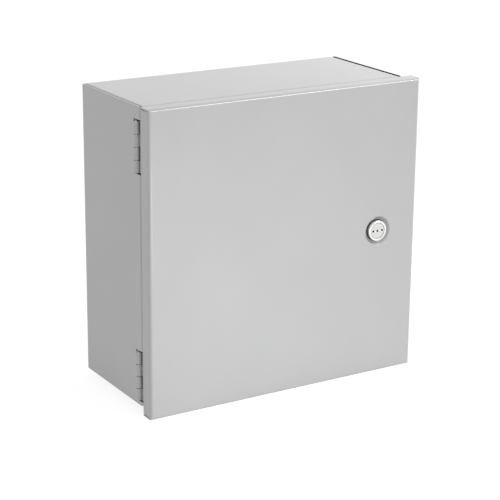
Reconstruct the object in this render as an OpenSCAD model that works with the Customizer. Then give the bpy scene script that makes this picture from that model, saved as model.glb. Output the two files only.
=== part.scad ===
// Wall-mounted electrical enclosure: a folded sheet-steel box, a flanged pan door on two butt hinges
// at its left edge, and a slotted quarter-turn latch whose cam hooks behind the box's front lip.
// Frame: origin at the centre of the back face, +Z up, the door faces -Y. Sizes in millimetres.

/* [Body] */
// Outside width of the box
body_w = 305; // [240:1:420]
// Outside height of the box
body_h = 305; // [240:1:420]
// Depth of the box from its back face to its front lip
body_d = 126; // [90:1:250]
// Thickness of the sheet steel
sheet_t = 1.5; // [1:0.1:1.7]
// Outside radius of the bends
bend_r = 3; // [2.5:0.1:4]
// Width of the lip turned in round the front opening
lip_w = 14; // [12:1:20]
// Width of the lap strips inside the four corner seams
lap_w = 10; // [6:1:16]
// Depth of the groove that shows along each corner seam
seam_depth = 1.9; // [1:0.1:2.2]
// Gap between the bend and the side sheet in that groove
seam_gap = 0.7; // [0:0.1:1]
// Width of the mitre gaps at the corners of the lip
mitre_gap = 1; // [0.5:0.1:2]
// Diameter of the wall-mounting holes
mount_hole_d = 8; // [6:0.5:10]
// Distance of the wall-mounting holes from the sides of the box
mount_inset = 22.5; // [20:0.5:26]

/* [Door] */
// Depth of the door's flange
door_d = 16; // [14:1:24]
// Gap between the door's flange and the front of the box
door_gap = 1; // [0.6:0.1:2]
// Overhang of the door past the right side of the box
overhang_right = 11; // [4:1:16]
// Overhang of the door below the bottom of the box
overhang_bottom = 9; // [4:1:16]
// Open gap at the corners of the flange
corner_gap = 0.8; // [0.4:0.1:1.5]

/* [Hinges] */
// Length of a hinge
hinge_len = 51; // [40:1:70]
// Distance from the top of the box to the upper hinge
upper_hinge_inset = 14.5; // [8:0.5:40]
// Distance from the bottom of the box to the lower hinge
lower_hinge_inset = 5.5; // [5:0.5:40]
// Number of knuckles on a hinge
knuckle_count = 4; // [4:2:6]
// Gap between two knuckles
knuckle_gap = 0.8; // [0.4:0.1:1.2]
// Outside diameter of the knuckles
barrel_d = 6; // [5.9:0.1:7]
// Diameter of the hinge pin
pin_d = 3.2; // [2.8:0.1:3.3]
// Clearance round the hinge pin
pin_clear = 0.05; // [0.02:0.01:0.1]
// Thickness of the hinge leaves
leaf_t = 1.2; // [1:0.1:1.2]
// Gap between the end of a rolled knuckle and its leaf
curl_gap = 0.4; // [0.2:0.1:0.6]
// Width of the leaf inside the box, from the pin
body_leaf_w = 26; // [20:1:40]
// Distance from the door's flange back to the pin
hinge_setback = 8; // [7:0.5:10]
// Reach of the notch in the box's side behind the pin
notch_reach = 6.2; // [4:0.2:9]
// Gap above and below a hinge in its notch
notch_gap = 1.4; // [1:0.1:3]

/* [Latch] */
// Distance from the door's right edge to the latch
latch_inset = 47.5; // [42:0.5:70]
// Diameter of the dimple pressed into the door
dimple_d = 32; // [31:1:40]
// Diameter of the flat floor of the dimple
dimple_floor_d = 25; // [24.5:0.5:28]
// Depth of the dimple
dimple_depth = 4; // [2.5:0.5:5]
// Diameter of the latch's round head
head_d = 22; // [21:0.5:25]
// Thickness of the latch's head
head_t = 3.4; // [3:0.1:5]
// Diameter of the housing's barrel
housing_d = 18.4; // [18.2:0.1:19.5]
// Width across the two flats that keep the barrel from turning
flats_w = 16.4; // [15.6:0.1:17.4]
// Outside diameter of the rubber gasket
gasket_d = 23.6; // [22.8:0.2:24.4]
// Thickness of the rubber gasket
gasket_t = 1.2; // [0.8:0.1:2]
// Diameter of the turning plug's face
plug_d = 16.2; // [15:0.1:16.8]
// Diameter of the turning plug's shaft
shaft_d = 10; // [9.5:0.1:11]
// Length of the screwdriver slot
slot_len = 13.6; // [10:0.2:14.4]
// Width of the screwdriver slot
slot_w = 2; // [1.2:0.1:2.6]
// Depth of the screwdriver slot
slot_depth = 1.5; // [1:0.1:2]
// Width of the cam
cam_w = 16; // [13:1:20]
// Thickness of the cam
cam_t = 2.5; // [2:0.1:3.5]
// Hold of the latched cam behind the lip
cam_bite = 6; // [4:0.5:9]
// Width of the nut behind the door across its flats
locknut_af = 24; // [23:0.5:27]
// Height of the nut behind the door
locknut_t = 4; // [3:0.5:5]
// Width of the cam's nut across its flats
cam_nut_af = 10; // [9:0.5:12]
// Height of the cam's nut
cam_nut_t = 4; // [3:0.5:6]

/* [Mounting panel] */
// Margin between the panel and the sides of the box
panel_margin = 32.5; // [30:0.5:60]
// Thickness of the panel
panel_t = 1.9; // [1.5:0.1:3]
// Stand-off of the panel from the back of the box
panel_standoff = 10; // [8:1:20]
// Distance of the panel's holes from its edges
panel_hole_inset = 12; // [10:1:20]
// Diameter of the panel's studs
panel_stud_d = 5; // [4:0.1:6]
// Diameter of the collars that the panel rests on
panel_collar_d = 11; // [9:0.5:14]
// Width of the panel's nuts across their flats
panel_nut_af = 8; // [7.5:0.5:10]
// Height of the panel's nuts above their flanges
panel_nut_t = 4; // [3:0.5:6]

/* [Ground studs] */
// Diameter of the ground studs
ground_stud_d = 6; // [5:0.1:7]
// Length of the ground stud in the box
ground_stud_len = 17; // [15:0.5:20]
// Distance of the box's ground stud from the back
ground_stud_back = 45; // [30:1:60]
// Height of the box's ground stud above the bottom of the box
ground_stud_up = 52; // [30:1:90]
// Length of the ground stud on the door
door_stud_len = 10; // [9.5:0.1:11]
// Height of the door's ground stud above the bottom of the door
door_stud_up = 40; // [25:1:80]
// Width of the ground nuts across their flats
ground_nut_af = 10; // [9:0.5:12]
// Height of the ground nuts
ground_nut_t = 5; // [4:0.5:6]

/* [Hidden] */
$fn = 64;

paint_grey = "#b7baba";
panel_white = "#e6e6e2";
zinc_silver = "#c9ccce";
latch_silver = "#d8d9d8";
rubber_black = "#26282a";

// How far a cutting tool runs past the face that it opens
over = 1;
// Clearance of a nut, washer or plate on what it slides onto
slip = 0.1;
inner_r = bend_r - sheet_t;

// Box and door planes, from the wall at y = 0 forward
side_x = body_w / 2;
wall_x = side_x - sheet_t;
top_z = body_h / 2;
// Centre of the bend at the right corner seams
seam_x = wall_x - seam_gap - bend_r;
front_y = -body_d;
flange_y = front_y - door_gap;
face_y = flange_y - door_d;
door_lo = [-side_x, face_y, -top_z - overhang_bottom];
door_hi = [side_x + overhang_right, flange_y, top_z];
door_mid_z = (door_lo.z + door_hi.z) / 2;

// Hinge pins: each leaf lies on the inside of its sheet, and the barrel stands just past the leaf
barrel_r = barrel_d / 2;
barrel_bite = 0.05;
leaf_x = -side_x + sheet_t;
hinge_x = leaf_x + leaf_t + barrel_bite - barrel_r;
hinge_y = flange_y + hinge_setback;
upper_hinge_z = top_z - upper_hinge_inset - hinge_len / 2;
lower_hinge_z = lower_hinge_inset + hinge_len / 2 - top_z;
knuckle_pitch = hinge_len / knuckle_count;
// Room that each leaf leaves round the other leaf's knuckles
knuckle_clear = 0.8;
// Gap between the door leaf's edge and the bend of the flange
leaf_end_gap = 1;
door_leaf_w = hinge_setback + door_d - bend_r - leaf_end_gap;

// Latch: heights along its axis are distances in front of the wall
latch_x = door_hi.x - latch_inset;
latch_z = door_mid_z;
face_h = -face_y;
floor_h = face_h - dimple_depth;
floor_back_h = floor_h - sheet_t;
head_back_h = floor_h + gasket_t;
head_front_h = head_back_h + head_t;
head_edge = 0.8;
run_gap = 0.3;
cam_clear = 1.5;
cam_front_h = body_d - sheet_t - cam_clear;
cam_back_h = cam_front_h - cam_t;
stop_t = 1.2;
stop_front_h = cam_front_h + stop_t;
housing_end_h = stop_front_h + run_gap;
plug_sink = 0.5;
plug_front_h = head_front_h - plug_sink;
plug_head_t = 2.4;
plug_head_h = plug_front_h - plug_head_t;
shaft_clear = 0.05;
square_w = (shaft_d - slip) / sqrt(2);
tip_d = 6;
spring_t = 1.2;
spring_d = 10.5;
tip_end = 1.5;
cam_len = side_x - lip_w - latch_x + cam_bite;
cam_tip_r = 3;
quarter_turn = 90;

// Stop tab on the washer, which runs in a cut-out at the end of the housing
tab_in_r = shaft_d / 2 + 0.7;
tab_wall = 1.2;
tab_out_r = flats_w / 2 - tab_wall;
tab_w = 3;
tab_h = 1.7;
tab_room = 2;
tab_half_deg = asin(tab_w / 2 / tab_in_r) + tab_room;

// Studs, nuts and washers
panel_lo = [-side_x + panel_margin, -top_z + panel_margin];
panel_corner_r = 6;
panel_back_y = -sheet_t - panel_standoff;
panel_face_y = panel_back_y - panel_t;
panel_hole_x = side_x - panel_margin - panel_hole_inset;
panel_hole_z = top_z - panel_margin - panel_hole_inset;
panel_nut_flange_d = panel_nut_af + 3;
panel_nut_flange_t = 1.2;
panel_stud_end = 2.5;
weld_base_d = 10;
weld_base_t = 1.2;
ground_washer_d = ground_nut_af + 2;
ground_washer_t = 1;
ground_z = ground_stud_up - top_z;
door_stud_z = door_lo.z + door_stud_up;

// A box between two corners
module slab(lo, hi) {
    translate(lo) cube(hi - lo);
}

// A square corner, or a quarter disc
module corner_2d(r, rounded) {
    if (rounded) intersection() {
        circle(r);
        square(r);
    }
    else square(r);
}

// A rectangle whose corners are rounded where asked, from the low corner anticlockwise
module rounded_rect(lo, hi, r, rounded) {
    translate([lo.x, lo.y + r]) square([hi.x - lo.x, hi.y - lo.y - 2 * r]);
    translate([lo.x + r, lo.y]) square([hi.x - lo.x - 2 * r, hi.y - lo.y]);
    translate([lo.x + r, lo.y + r]) rotate(180) corner_2d(r, rounded[0]);
    translate([hi.x - r, lo.y + r]) rotate(270) corner_2d(r, rounded[1]);
    translate([hi.x - r, hi.y - r]) corner_2d(r, rounded[2]);
    translate([lo.x + r, hi.y - r]) rotate(90) corner_2d(r, rounded[3]);
}

// A block whose front edges, and back edges if asked, are bends that meet in mitres at the corners
module bent_block(lo, hi, r, back) {
    intersection() {
        translate([0, 0, lo.z]) linear_extrude(hi.z - lo.z)
            rounded_rect([lo.x, lo.y], [hi.x, hi.y], r, [true, true, back, back]);
        translate([lo.x, 0, 0]) rotate([90, 0, 90]) linear_extrude(hi.x - lo.x)
            rounded_rect([lo.y, lo.z], [hi.y, hi.z], r, [true, back, back, true]);
    }
}

// Copies at the four corners of the box, mirrored about its middle planes
module four_corners() {
    for (mx = [0, 1], mz = [0, 1]) mirror([mx, 0, 0]) mirror([0, 0, mz]) children();
}

// An outline drawn in X and Z, made into a bar that runs forward from y_back by len
module bar_along_y(y_back, len) {
    translate([0, y_back, 0]) rotate([90, 0, 0]) linear_extrude(len) children();
}

// Groove of the top right seam: the bend of the top sheet falls away from the side sheet's edge
module seam_groove_2d() {
    translate([seam_x, top_z - bend_r]) difference() {
        translate([0, bend_r - seam_depth]) square([wall_x - seam_x, seam_depth + over]);
        circle(bend_r);
    }
}

// Bend and lap strip of the top right seam: the strip is set out against the inside of the side sheet
module seam_lap_2d() {
    translate([seam_x, top_z - bend_r]) intersection() {
        difference() {
            circle(bend_r);
            circle(inner_r);
        }
        square(bend_r);
    }
    translate([wall_x - sheet_t, top_z - lap_w]) square([sheet_t, lap_w - bend_r]);
    // weld fill between the bend and the side sheet, up to the groove
    translate([seam_x, top_z - bend_r]) difference() {
        square([wall_x - seam_x, bend_r - seam_depth]);
        circle(bend_r);
    }
}

// Mitre gap at the top right corner of the lip
module lip_mitre() {
    translate([wall_x - inner_r, 0, top_z - sheet_t - inner_r]) rotate([0, -45, 0])
        slab([-2 * lip_w, front_y - over, -mitre_gap / 2],
             [0, front_y + sheet_t + over, mitre_gap / 2]);
}

// Notch for one hinge: through the side and the lip, with room for the leaf past the lap strips
module hinge_notch(z_mid) {
    half = hinge_len / 2 + notch_gap;
    room_x = leaf_x + leaf_t + barrel_bite + run_gap;
    slab([-side_x - over, front_y - over, z_mid - half],
         [room_x, hinge_y + notch_reach, z_mid + half]);
    slab([leaf_x, front_y - over, z_mid - half],
         [room_x, hinge_y + body_leaf_w + notch_gap, z_mid + half]);
}

module body_shell() {
    inset = [sheet_t, sheet_t, sheet_t];
    lo = [-side_x, front_y, -top_z];
    hi = [side_x, 0, top_z];
    color(paint_grey) difference() {
        union() {
            difference() {
                bent_block(lo, hi, bend_r, true);
                bent_block(lo + inset, hi - inset, inner_r, true);
                four_corners() bar_along_y(over, body_d + 2 * over) seam_groove_2d();
            }
            four_corners() bar_along_y(-bend_r, body_d - 2 * bend_r) seam_lap_2d();
        }
        slab([-side_x + lip_w, front_y - over, -top_z + lip_w],
             [side_x - lip_w, front_y + sheet_t + over, top_z - lip_w]);
        four_corners() lip_mitre();
        hinge_notch(upper_hinge_z);
        hinge_notch(lower_hinge_z);
        four_corners() translate([side_x - mount_inset, over, top_z - mount_inset]) rotate([90, 0, 0])
            cylinder(d = mount_hole_d, h = sheet_t + 2 * over);
    }
}

// A hexagonal nut standing on z = 0
module hex_nut(af, t, bore_d) {
    difference() {
        cylinder(d = af / cos(30), h = t, $fn = 6);
        translate([0, 0, -over]) cylinder(d = bore_d, h = t + 2 * over);
    }
}

// A flat ring standing on z = 0
module ring(outer_d, inner_d, t) {
    difference() {
        cylinder(d = outer_d, h = t);
        translate([0, 0, -over]) cylinder(d = inner_d, h = t + 2 * over);
    }
}

// Places at the panel's four studs, with local z pointing forward out of the box
module at_panel_studs(y) {
    for (sx = [-1, 1], sz = [-1, 1])
        translate([sx * panel_hole_x, y, sz * panel_hole_z]) rotate([90, 0, 0]) children();
}

module mounting_panel() {
    color(panel_white) difference() {
        bar_along_y(panel_back_y, panel_t)
            rounded_rect(panel_lo, -panel_lo, panel_corner_r, [true, true, true, true]);
        at_panel_studs(panel_back_y + over)
            cylinder(d = panel_stud_d + 4 * slip, h = panel_t + 2 * over);
    }
}

module panel_studs() {
    len = panel_standoff + panel_t + panel_nut_flange_t + panel_nut_t + panel_stud_end;
    color(zinc_silver) at_panel_studs(-sheet_t) {
        cylinder(d = panel_collar_d, h = panel_standoff);
        cylinder(d = panel_stud_d, h = len);
    }
}

module panel_nuts() {
    bore_d = panel_stud_d + 2 * slip;
    color(zinc_silver) at_panel_studs(panel_face_y) {
        ring(panel_nut_flange_d, bore_d, panel_nut_flange_t);
        translate([0, 0, panel_nut_flange_t]) hex_nut(panel_nut_af, panel_nut_t, bore_d);
    }
}

// A weld stud standing on z = 0, with the base that is welded to the sheet
module weld_stud(len) {
    cylinder(d = weld_base_d, h = weld_base_t);
    cylinder(d = ground_stud_d, h = len);
}

// Ground stud of the box, on the inside of its right wall
module at_ground_stud(h) {
    translate([wall_x - h, -ground_stud_back, ground_z]) rotate([0, -90, 0]) children();
}

// Ground stud of the door, on the inside of its face, straight below the latch
module at_door_stud(h) {
    translate([latch_x, face_y + sheet_t + h, door_stud_z]) rotate([-90, 0, 0]) children();
}

module ground_stud() {
    color(zinc_silver) at_ground_stud(0) weld_stud(ground_stud_len);
}

module ground_washer() {
    color(zinc_silver) at_ground_stud(weld_base_t)
        ring(ground_washer_d, ground_stud_d + 2 * slip, ground_washer_t);
}

module ground_nut() {
    color(zinc_silver) at_ground_stud(weld_base_t + ground_washer_t)
        hex_nut(ground_nut_af, ground_nut_t, ground_stud_d + 2 * slip);
}

module door_ground_stud() {
    color(zinc_silver) at_door_stud(0) weld_stud(door_stud_len);
}

module door_ground_washer() {
    color(zinc_silver) at_door_stud(weld_base_t)
        ring(ground_washer_d, ground_stud_d + 2 * slip, ground_washer_t);
}

module door_ground_nut() {
    color(zinc_silver) at_door_stud(weld_base_t + ground_washer_t)
        hex_nut(ground_nut_af, ground_nut_t, ground_stud_d + 2 * slip);
}

// One leaf of a hinge: a plate along the sheet, and the knuckles listed, counted from the top.
// The leaf runs back from the pin where way is 1, and forward where it is -1.
module hinge_leaf(z_mid, way, leaf_w, knuckles) {
    z_low = z_mid - hinge_len / 2;
    root_w = barrel_r + knuckle_clear;
    knuckle_len = knuckle_pitch - knuckle_gap;
    color(paint_grey) translate([hinge_x, hinge_y, z_low]) difference() {
        union() {
            translate([leaf_x - hinge_x, min(way * root_w, way * leaf_w), 0])
                cube([leaf_t, leaf_w - root_w, hinge_len]);
            for (k = knuckles)
                translate([0, 0, hinge_len - (k + 1) * knuckle_pitch + knuckle_gap / 2]) {
                    cylinder(d = barrel_d, h = knuckle_len);
                    translate([leaf_x - hinge_x, min(0, way * root_w), 0])
                        cube([leaf_t, root_w, knuckle_len]);
                }
        }
        translate([0, 0, -over]) cylinder(d = pin_d + 2 * pin_clear, h = hinge_len + 2 * over);
        // open end of each curl, which stops short of the leaf that it was rolled from
        translate([leaf_x - hinge_x - curl_gap, min(0, way * root_w), -over])
            cube([curl_gap, root_w, hinge_len + 2 * over]);
    }
}

body_knuckles = [for (k = [0 : 2 : knuckle_count - 1]) k];
door_knuckles = [for (k = [1 : 2 : knuckle_count - 1]) k];

module hinge_pin(z_mid) {
    color(zinc_silver) translate([hinge_x, hinge_y, z_mid])
        cylinder(d = pin_d, h = hinge_len, center = true);
}

module upper_hinge_body_leaf() {
    hinge_leaf(upper_hinge_z, 1, body_leaf_w, body_knuckles);
}

module lower_hinge_body_leaf() {
    hinge_leaf(lower_hinge_z, 1, body_leaf_w, body_knuckles);
}

module upper_hinge_door_leaf() {
    hinge_leaf(upper_hinge_z, -1, door_leaf_w, door_knuckles);
}

module lower_hinge_door_leaf() {
    hinge_leaf(lower_hinge_z, -1, door_leaf_w, door_knuckles);
}

module upper_hinge_pin() {
    hinge_pin(upper_hinge_z);
}

module lower_hinge_pin() {
    hinge_pin(lower_hinge_z);
}

// Places along the latch's axis: local z is the distance in front of the wall
module at_latch() {
    translate([latch_x, 0, latch_z]) rotate([90, 0, 0]) children();
}

// Depth of the dimple's wall, as a share u of the way from its rim to its floor
function dimple_drop(u) = dimple_depth * (1 - cos(180 * u)) / 2;

// Section of the housing's barrel, or of the hole that it seats in, which is wider by extra all round
module barrel_2d(extra) {
    intersection() {
        circle(d = housing_d + 2 * extra);
        square([flats_w + 2 * extra, housing_d + 2 * over], center = true);
    }
}

// Half section of the dimple: the sheet runs from the rim down to the floor and in to the middle
module dimple_2d() {
    steps = 12;
    rim_r = dimple_d / 2;
    floor_r = dimple_floor_d / 2;
    wall = [
        for (i = [0 : steps])
            [rim_r + (floor_r - rim_r) * i / steps, face_h - dimple_drop(i / steps)]
    ];
    front = concat(wall, [[0, floor_h]]);
    back = [for (i = [len(front) - 1 : -1 : 0]) front[i] - [0, sheet_t]];
    polygon(concat(front, back));
}

// Open gap at one corner of the flange, through the side flange next to the top or bottom flange
module flange_gap(x, z) {
    slab([x - sheet_t - over, face_y + bend_r, z - corner_gap / 2],
         [x + sheet_t + over, flange_y + over, z + corner_gap / 2]);
}

module door() {
    inset = [sheet_t, sheet_t, sheet_t];
    gap_z = sheet_t + corner_gap / 2;
    color(paint_grey) difference() {
        union() {
            difference() {
                bent_block(door_lo, door_hi, bend_r, false);
                bent_block(door_lo + inset, door_hi - inset + [0, sheet_t + over, 0], inner_r, false);
                for (x = [door_lo.x, door_hi.x]) {
                    flange_gap(x, door_lo.z + gap_z);
                    flange_gap(x, door_hi.z - gap_z);
                }
                at_latch() translate([0, 0, face_h - sheet_t - over])
                    cylinder(d = dimple_d, h = sheet_t + 2 * over);
            }
            at_latch() rotate_extrude() dimple_2d();
        }
        at_latch() translate([0, 0, floor_back_h - over]) linear_extrude(sheet_t + 2 * over)
            barrel_2d(slip);
    }
}

module latch_gasket() {
    color(rubber_black) at_latch() translate([0, 0, floor_h])
        ring(gasket_d, housing_d + 2 * slip, gasket_t);
}

module latch_housing() {
    head = head_d / 2;
    cup_h = plug_head_h - run_gap;
    head_section = [
        [0, head_back_h], [head, head_back_h], [head, head_front_h - head_edge],
        [head - head_edge, head_front_h], [0, head_front_h]
    ];
    color(latch_silver) at_latch() difference() {
        union() {
            rotate_extrude() polygon(head_section);
            translate([0, 0, housing_end_h]) linear_extrude(head_back_h - housing_end_h) barrel_2d(0);
        }
        // cup for the plug's face, and the bore that its shaft turns in
        translate([0, 0, cup_h]) cylinder(d = plug_d + 2 * run_gap, h = head_front_h - cup_h + over);
        translate([0, 0, housing_end_h - over])
            cylinder(d = shaft_d + 2 * shaft_clear, h = cup_h - housing_end_h + 2 * over);
        // room for the stop tab, from the cam hanging down to the cam pointing right
        translate([0, 0, housing_end_h - over])
            rotate_extrude(angle = quarter_turn + 2 * tab_half_deg, start = -quarter_turn - tab_half_deg)
                translate([tab_in_r - run_gap, 0])
                    square([tab_out_r - tab_in_r + 2 * run_gap, tab_h + over + run_gap]);
    }
}

module latch_locknut() {
    color(zinc_silver) at_latch() translate([0, 0, floor_back_h - locknut_t])
        hex_nut(locknut_af, locknut_t, housing_d + 2 * slip);
}

module latch_plug() {
    shaft = shaft_d / 2;
    face = plug_d / 2;
    section = [
        [0, stop_front_h], [shaft, stop_front_h], [shaft, plug_head_h], [face, plug_head_h],
        [face, plug_front_h], [0, plug_front_h]
    ];
    tip_h = cam_back_h - spring_t - cam_nut_t - tip_end;
    color(latch_silver) at_latch() difference() {
        union() {
            rotate_extrude() polygon(section);
            translate([-square_w / 2, -square_w / 2, cam_back_h])
                cube([square_w, square_w, cam_t + stop_t]);
            translate([0, 0, tip_h]) cylinder(d = tip_d, h = cam_back_h - tip_h);
        }
        slab([-slot_len / 2, -slot_w / 2, plug_front_h - slot_depth],
             [slot_len / 2, slot_w / 2, plug_front_h + over]);
    }
}

// The square hole that seats on the plug's square, through a plate from z = 0 to t
module square_hole(t) {
    w = square_w + 2 * slip;
    translate([-w / 2, -w / 2, -over]) cube([w, w, t + 2 * over]);
}

module stop_washer() {
    tab_len = stop_t + run_gap + tab_h;
    color(zinc_silver) at_latch() translate([0, 0, cam_front_h]) {
        difference() {
            cylinder(r = tab_out_r, h = stop_t);
            square_hole(stop_t);
        }
        intersection() {
            translate([-tab_w / 2, -tab_out_r, 0]) cube([tab_w, tab_out_r - tab_in_r, tab_len]);
            cylinder(r = tab_out_r, h = tab_len);
        }
    }
}

// The cam hangs down from the plug, and points right when it is latched
module latch_cam() {
    color(zinc_silver) at_latch() translate([0, 0, cam_back_h]) difference() {
        linear_extrude(cam_t) {
            circle(d = cam_w);
            rounded_rect([-cam_w / 2, -cam_len], [cam_w / 2, 0], cam_tip_r, [true, true, false, false]);
        }
        square_hole(cam_t);
    }
}

// A split spring washer, flat under its nut
module cam_lock_washer() {
    split_w = 1.2;
    color(zinc_silver) at_latch() translate([0, 0, cam_back_h - spring_t]) difference() {
        ring(spring_d, tip_d + 2 * slip, spring_t);
        translate([0, -split_w / 2, -over]) cube([spring_d, split_w, spring_t + 2 * over]);
    }
}

module cam_nut() {
    color(zinc_silver) at_latch() translate([0, 0, cam_back_h - spring_t - cam_nut_t])
        hex_nut(cam_nut_af, cam_nut_t, tip_d + 2 * slip);
}

body_shell();
mounting_panel();
panel_studs();
panel_nuts();
ground_stud();
ground_washer();
ground_nut();
upper_hinge_body_leaf();
upper_hinge_pin();
lower_hinge_body_leaf();
lower_hinge_pin();
door();
upper_hinge_door_leaf();
lower_hinge_door_leaf();
latch_gasket();
latch_housing();
latch_locknut();
door_ground_stud();
door_ground_washer();
door_ground_nut();
latch_plug();
stop_washer();
latch_cam();
cam_lock_washer();
cam_nut();
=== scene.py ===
"""Looks of the wall-mounted electrical enclosure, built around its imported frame.

The folded box, the door, the hinge leaves, the panel and the latch's flat plates are softened copies of
their solids. The pins, studs, nuts and toothed washers, and the rest of the latch, are turned, screwed and
cut shapes.
"""

import logging
import math
from collections.abc import Callable
from dataclasses import dataclass
from enum import Enum

import bmesh
import bpy
from bpy.types import Material, Node, NodeSocket, NodeTree, Object
from mathutils import Matrix, Vector


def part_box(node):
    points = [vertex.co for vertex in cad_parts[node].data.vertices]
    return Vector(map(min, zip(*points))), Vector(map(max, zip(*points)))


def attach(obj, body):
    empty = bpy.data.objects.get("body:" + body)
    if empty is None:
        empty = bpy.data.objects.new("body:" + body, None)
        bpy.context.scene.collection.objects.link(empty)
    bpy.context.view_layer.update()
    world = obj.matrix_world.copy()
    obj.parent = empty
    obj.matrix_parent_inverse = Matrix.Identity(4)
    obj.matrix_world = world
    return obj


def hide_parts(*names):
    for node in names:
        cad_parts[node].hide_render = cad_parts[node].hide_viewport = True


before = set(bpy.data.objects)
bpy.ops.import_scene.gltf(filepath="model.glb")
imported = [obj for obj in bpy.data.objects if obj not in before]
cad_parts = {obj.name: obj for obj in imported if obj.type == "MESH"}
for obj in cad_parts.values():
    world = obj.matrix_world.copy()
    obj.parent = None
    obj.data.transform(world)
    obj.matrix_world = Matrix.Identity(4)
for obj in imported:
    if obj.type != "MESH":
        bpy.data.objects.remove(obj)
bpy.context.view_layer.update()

MM = 0.001
WELD = 0.001 * MM
SLIVER = 0.03 * MM
# Most values of a noise texture lie in this span, and a wave texture of scale 1 repeats at this pitch.
NOISE_SPAN = (0.3, 0.7)
WAVE_PITCH = math.tau / 20
log = logging.getLogger("enclosure")

Span = tuple[float, float]
Triple = tuple[float, float, float]
Colour = Triple
Outline = list[Span]


class Body(Enum):
    """The moving bodies of the part."""

    ENCLOSURE = "enclosure"
    DOOR = "door"
    LATCH = "latch"


class Slot(Enum):
    """The finishes that the part's record names."""

    GREY_PAINT = "grey_paint"
    WHITE_PAINT = "white_paint"
    ZINC_PLATE = "zinc_plate"
    LATCH_METAL = "latch_metal"
    BLACK_RUBBER = "black_rubber"


class Pick(Enum):
    """What an edit-mode selection is made of."""

    VERT = "VERT"
    EDGE = "EDGE"
    FACE = "FACE"


class Cut(Enum):
    """How one solid is combined with another."""

    REMOVE = "DIFFERENCE"
    JOIN = "UNION"
    KEEP_COMMON = "INTERSECT"


class NodeBoard:
    """A material's node tree, its main shader, and short calls that add nodes to it."""

    def __init__(self, name: str) -> None:
        """Start a material that reads Object coordinates."""
        self.material = bpy.data.materials.new(name)
        self.material.use_nodes = True
        self.tree = self.material.node_tree
        self.shader = self.tree.nodes["Principled BSDF"]
        self.place = self.add("ShaderNodeTexCoord").outputs["Object"]

    def add(self, kind: str, **settings: object) -> Node:
        """Add a node.

        Args:
            kind: the node's type name.
            settings: properties to set on it.

        Returns:
            The new node.
        """
        node = self.tree.nodes.new(kind)
        for key, value in settings.items():
            setattr(node, key, value)
        return node

    def feed(self, socket: NodeSocket, value: object) -> None:
        """Link another socket to a socket, or set a plain value on it."""
        if isinstance(value, NodeSocket):
            self.tree.links.new(value, socket)
        else:
            socket.default_value = value

    def maths(self, operation: str, *values: object) -> NodeSocket:
        """Work out one number from up to three others.

        Args:
            operation: the Math node's operation.
            values: numbers or sockets, in order.

        Returns:
            The result's socket.
        """
        node = self.add("ShaderNodeMath", operation=operation)
        for socket, value in zip(node.inputs, values):
            self.feed(socket, value)
        return node.outputs[0]

    def noise(self, grain: float, detail: float) -> NodeSocket:
        """Add noise on the object's coordinates.

        Args:
            grain: the size of its lumps, in metres.
            detail: how many finer layers it has.

        Returns:
            Its value, from 0 to 1.
        """
        node = self.add("ShaderNodeTexNoise")
        node.inputs["Scale"].default_value = 1 / grain
        node.inputs["Detail"].default_value = detail
        self.feed(node.inputs["Vector"], self.place)
        return node.outputs["Fac"]

    def spread(self, value: NodeSocket, ends: Span) -> NodeSocket:
        """Stretch the middle of a noise's values over a range.

        Args:
            value: the noise's socket.
            ends: the results where the noise is low and where it is high.

        Returns:
            The stretched value's socket.
        """
        node = self.add("ShaderNodeMapRange")
        for name, number in zip(("From Min", "From Max", "To Min", "To Max"), (*NOISE_SPAN, *ends)):
            node.inputs[name].default_value = number
        self.feed(node.inputs["Value"], value)
        return node.outputs["Result"]

    def shades(self, value: NodeSocket, *colours: Colour) -> NodeSocket:
        """Turn a noise's values into a colour between two shades.

        Args:
            value: the noise's socket.
            colours: the colours where the noise is low and where it is high.

        Returns:
            The colour's socket.
        """
        node = self.add("ShaderNodeValToRGB")
        for stop, place, colour in zip(node.color_ramp.elements, NOISE_SPAN, colours):
            stop.position = place
            stop.color = (*colour, 1)
        self.feed(node.inputs["Fac"], value)
        return node.outputs["Color"]

    def tints(self, value: NodeSocket, colour: Colour, factors: Span) -> NodeSocket:
        """Turn a noise's values into a colour between a darker and a lighter tint of one colour."""
        return self.shades(value, *(tuple(channel * factor for channel in colour) for factor in factors))

    def axes(self, place: NodeSocket) -> tuple[NodeSocket, ...]:
        """Split a place into its coordinates.

        Args:
            place: the place's socket.

        Returns:
            The sockets of X, Y and Z.
        """
        node = self.add("ShaderNodeSeparateXYZ")
        self.feed(node.inputs["Vector"], place)
        return tuple(node.outputs)

    def within(self, *ranges: tuple[NodeSocket, float, float]) -> NodeSocket:
        """Mask what lies inside a box.

        Args:
            ranges: each coordinate's socket, with the box's middle and its half width along it.

        Returns:
            1 inside the box, and otherwise 0.
        """
        masks = [self.maths("COMPARE", *limits) for limits in ranges]
        inside = masks[0]
        for mask in masks[1:]:
            inside = self.maths("MULTIPLY", inside, mask)
        return inside

    def blend(self, share: NodeSocket, first: object, second: object) -> NodeSocket:
        """Mix two colours.

        Args:
            share: how much of the second colour shows.
            first: the colour where the share is 0.
            second: the colour where the share is 1.

        Returns:
            The mixed colour's socket.
        """
        node = self.add("ShaderNodeMix", data_type="RGBA")
        self.feed(node.inputs["Factor"], share)
        self.feed(node.inputs["A"], first)
        self.feed(node.inputs["B"], second)
        return node.outputs["Result"]

    def bump(self, height: NodeSocket, rise: float, strength: float) -> None:
        """Raise the surface by a height map.

        Args:
            height: the map, from 0 to 1.
            rise: how far a height of 1 stands out, in metres.
            strength: how strongly it shows.
        """
        node = self.add("ShaderNodeBump")
        node.inputs["Strength"].default_value = strength
        node.inputs["Distance"].default_value = rise
        self.feed(node.inputs["Height"], height)
        self.feed(self.shader.inputs["Normal"], node.outputs["Normal"])

    def set(self, **values: object) -> None:
        """Set or link the main shader's inputs, with underscores for the spaces in their names."""
        for name, value in values.items():
            self.feed(self.shader.inputs[name.replace("_", " ")], value)


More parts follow.
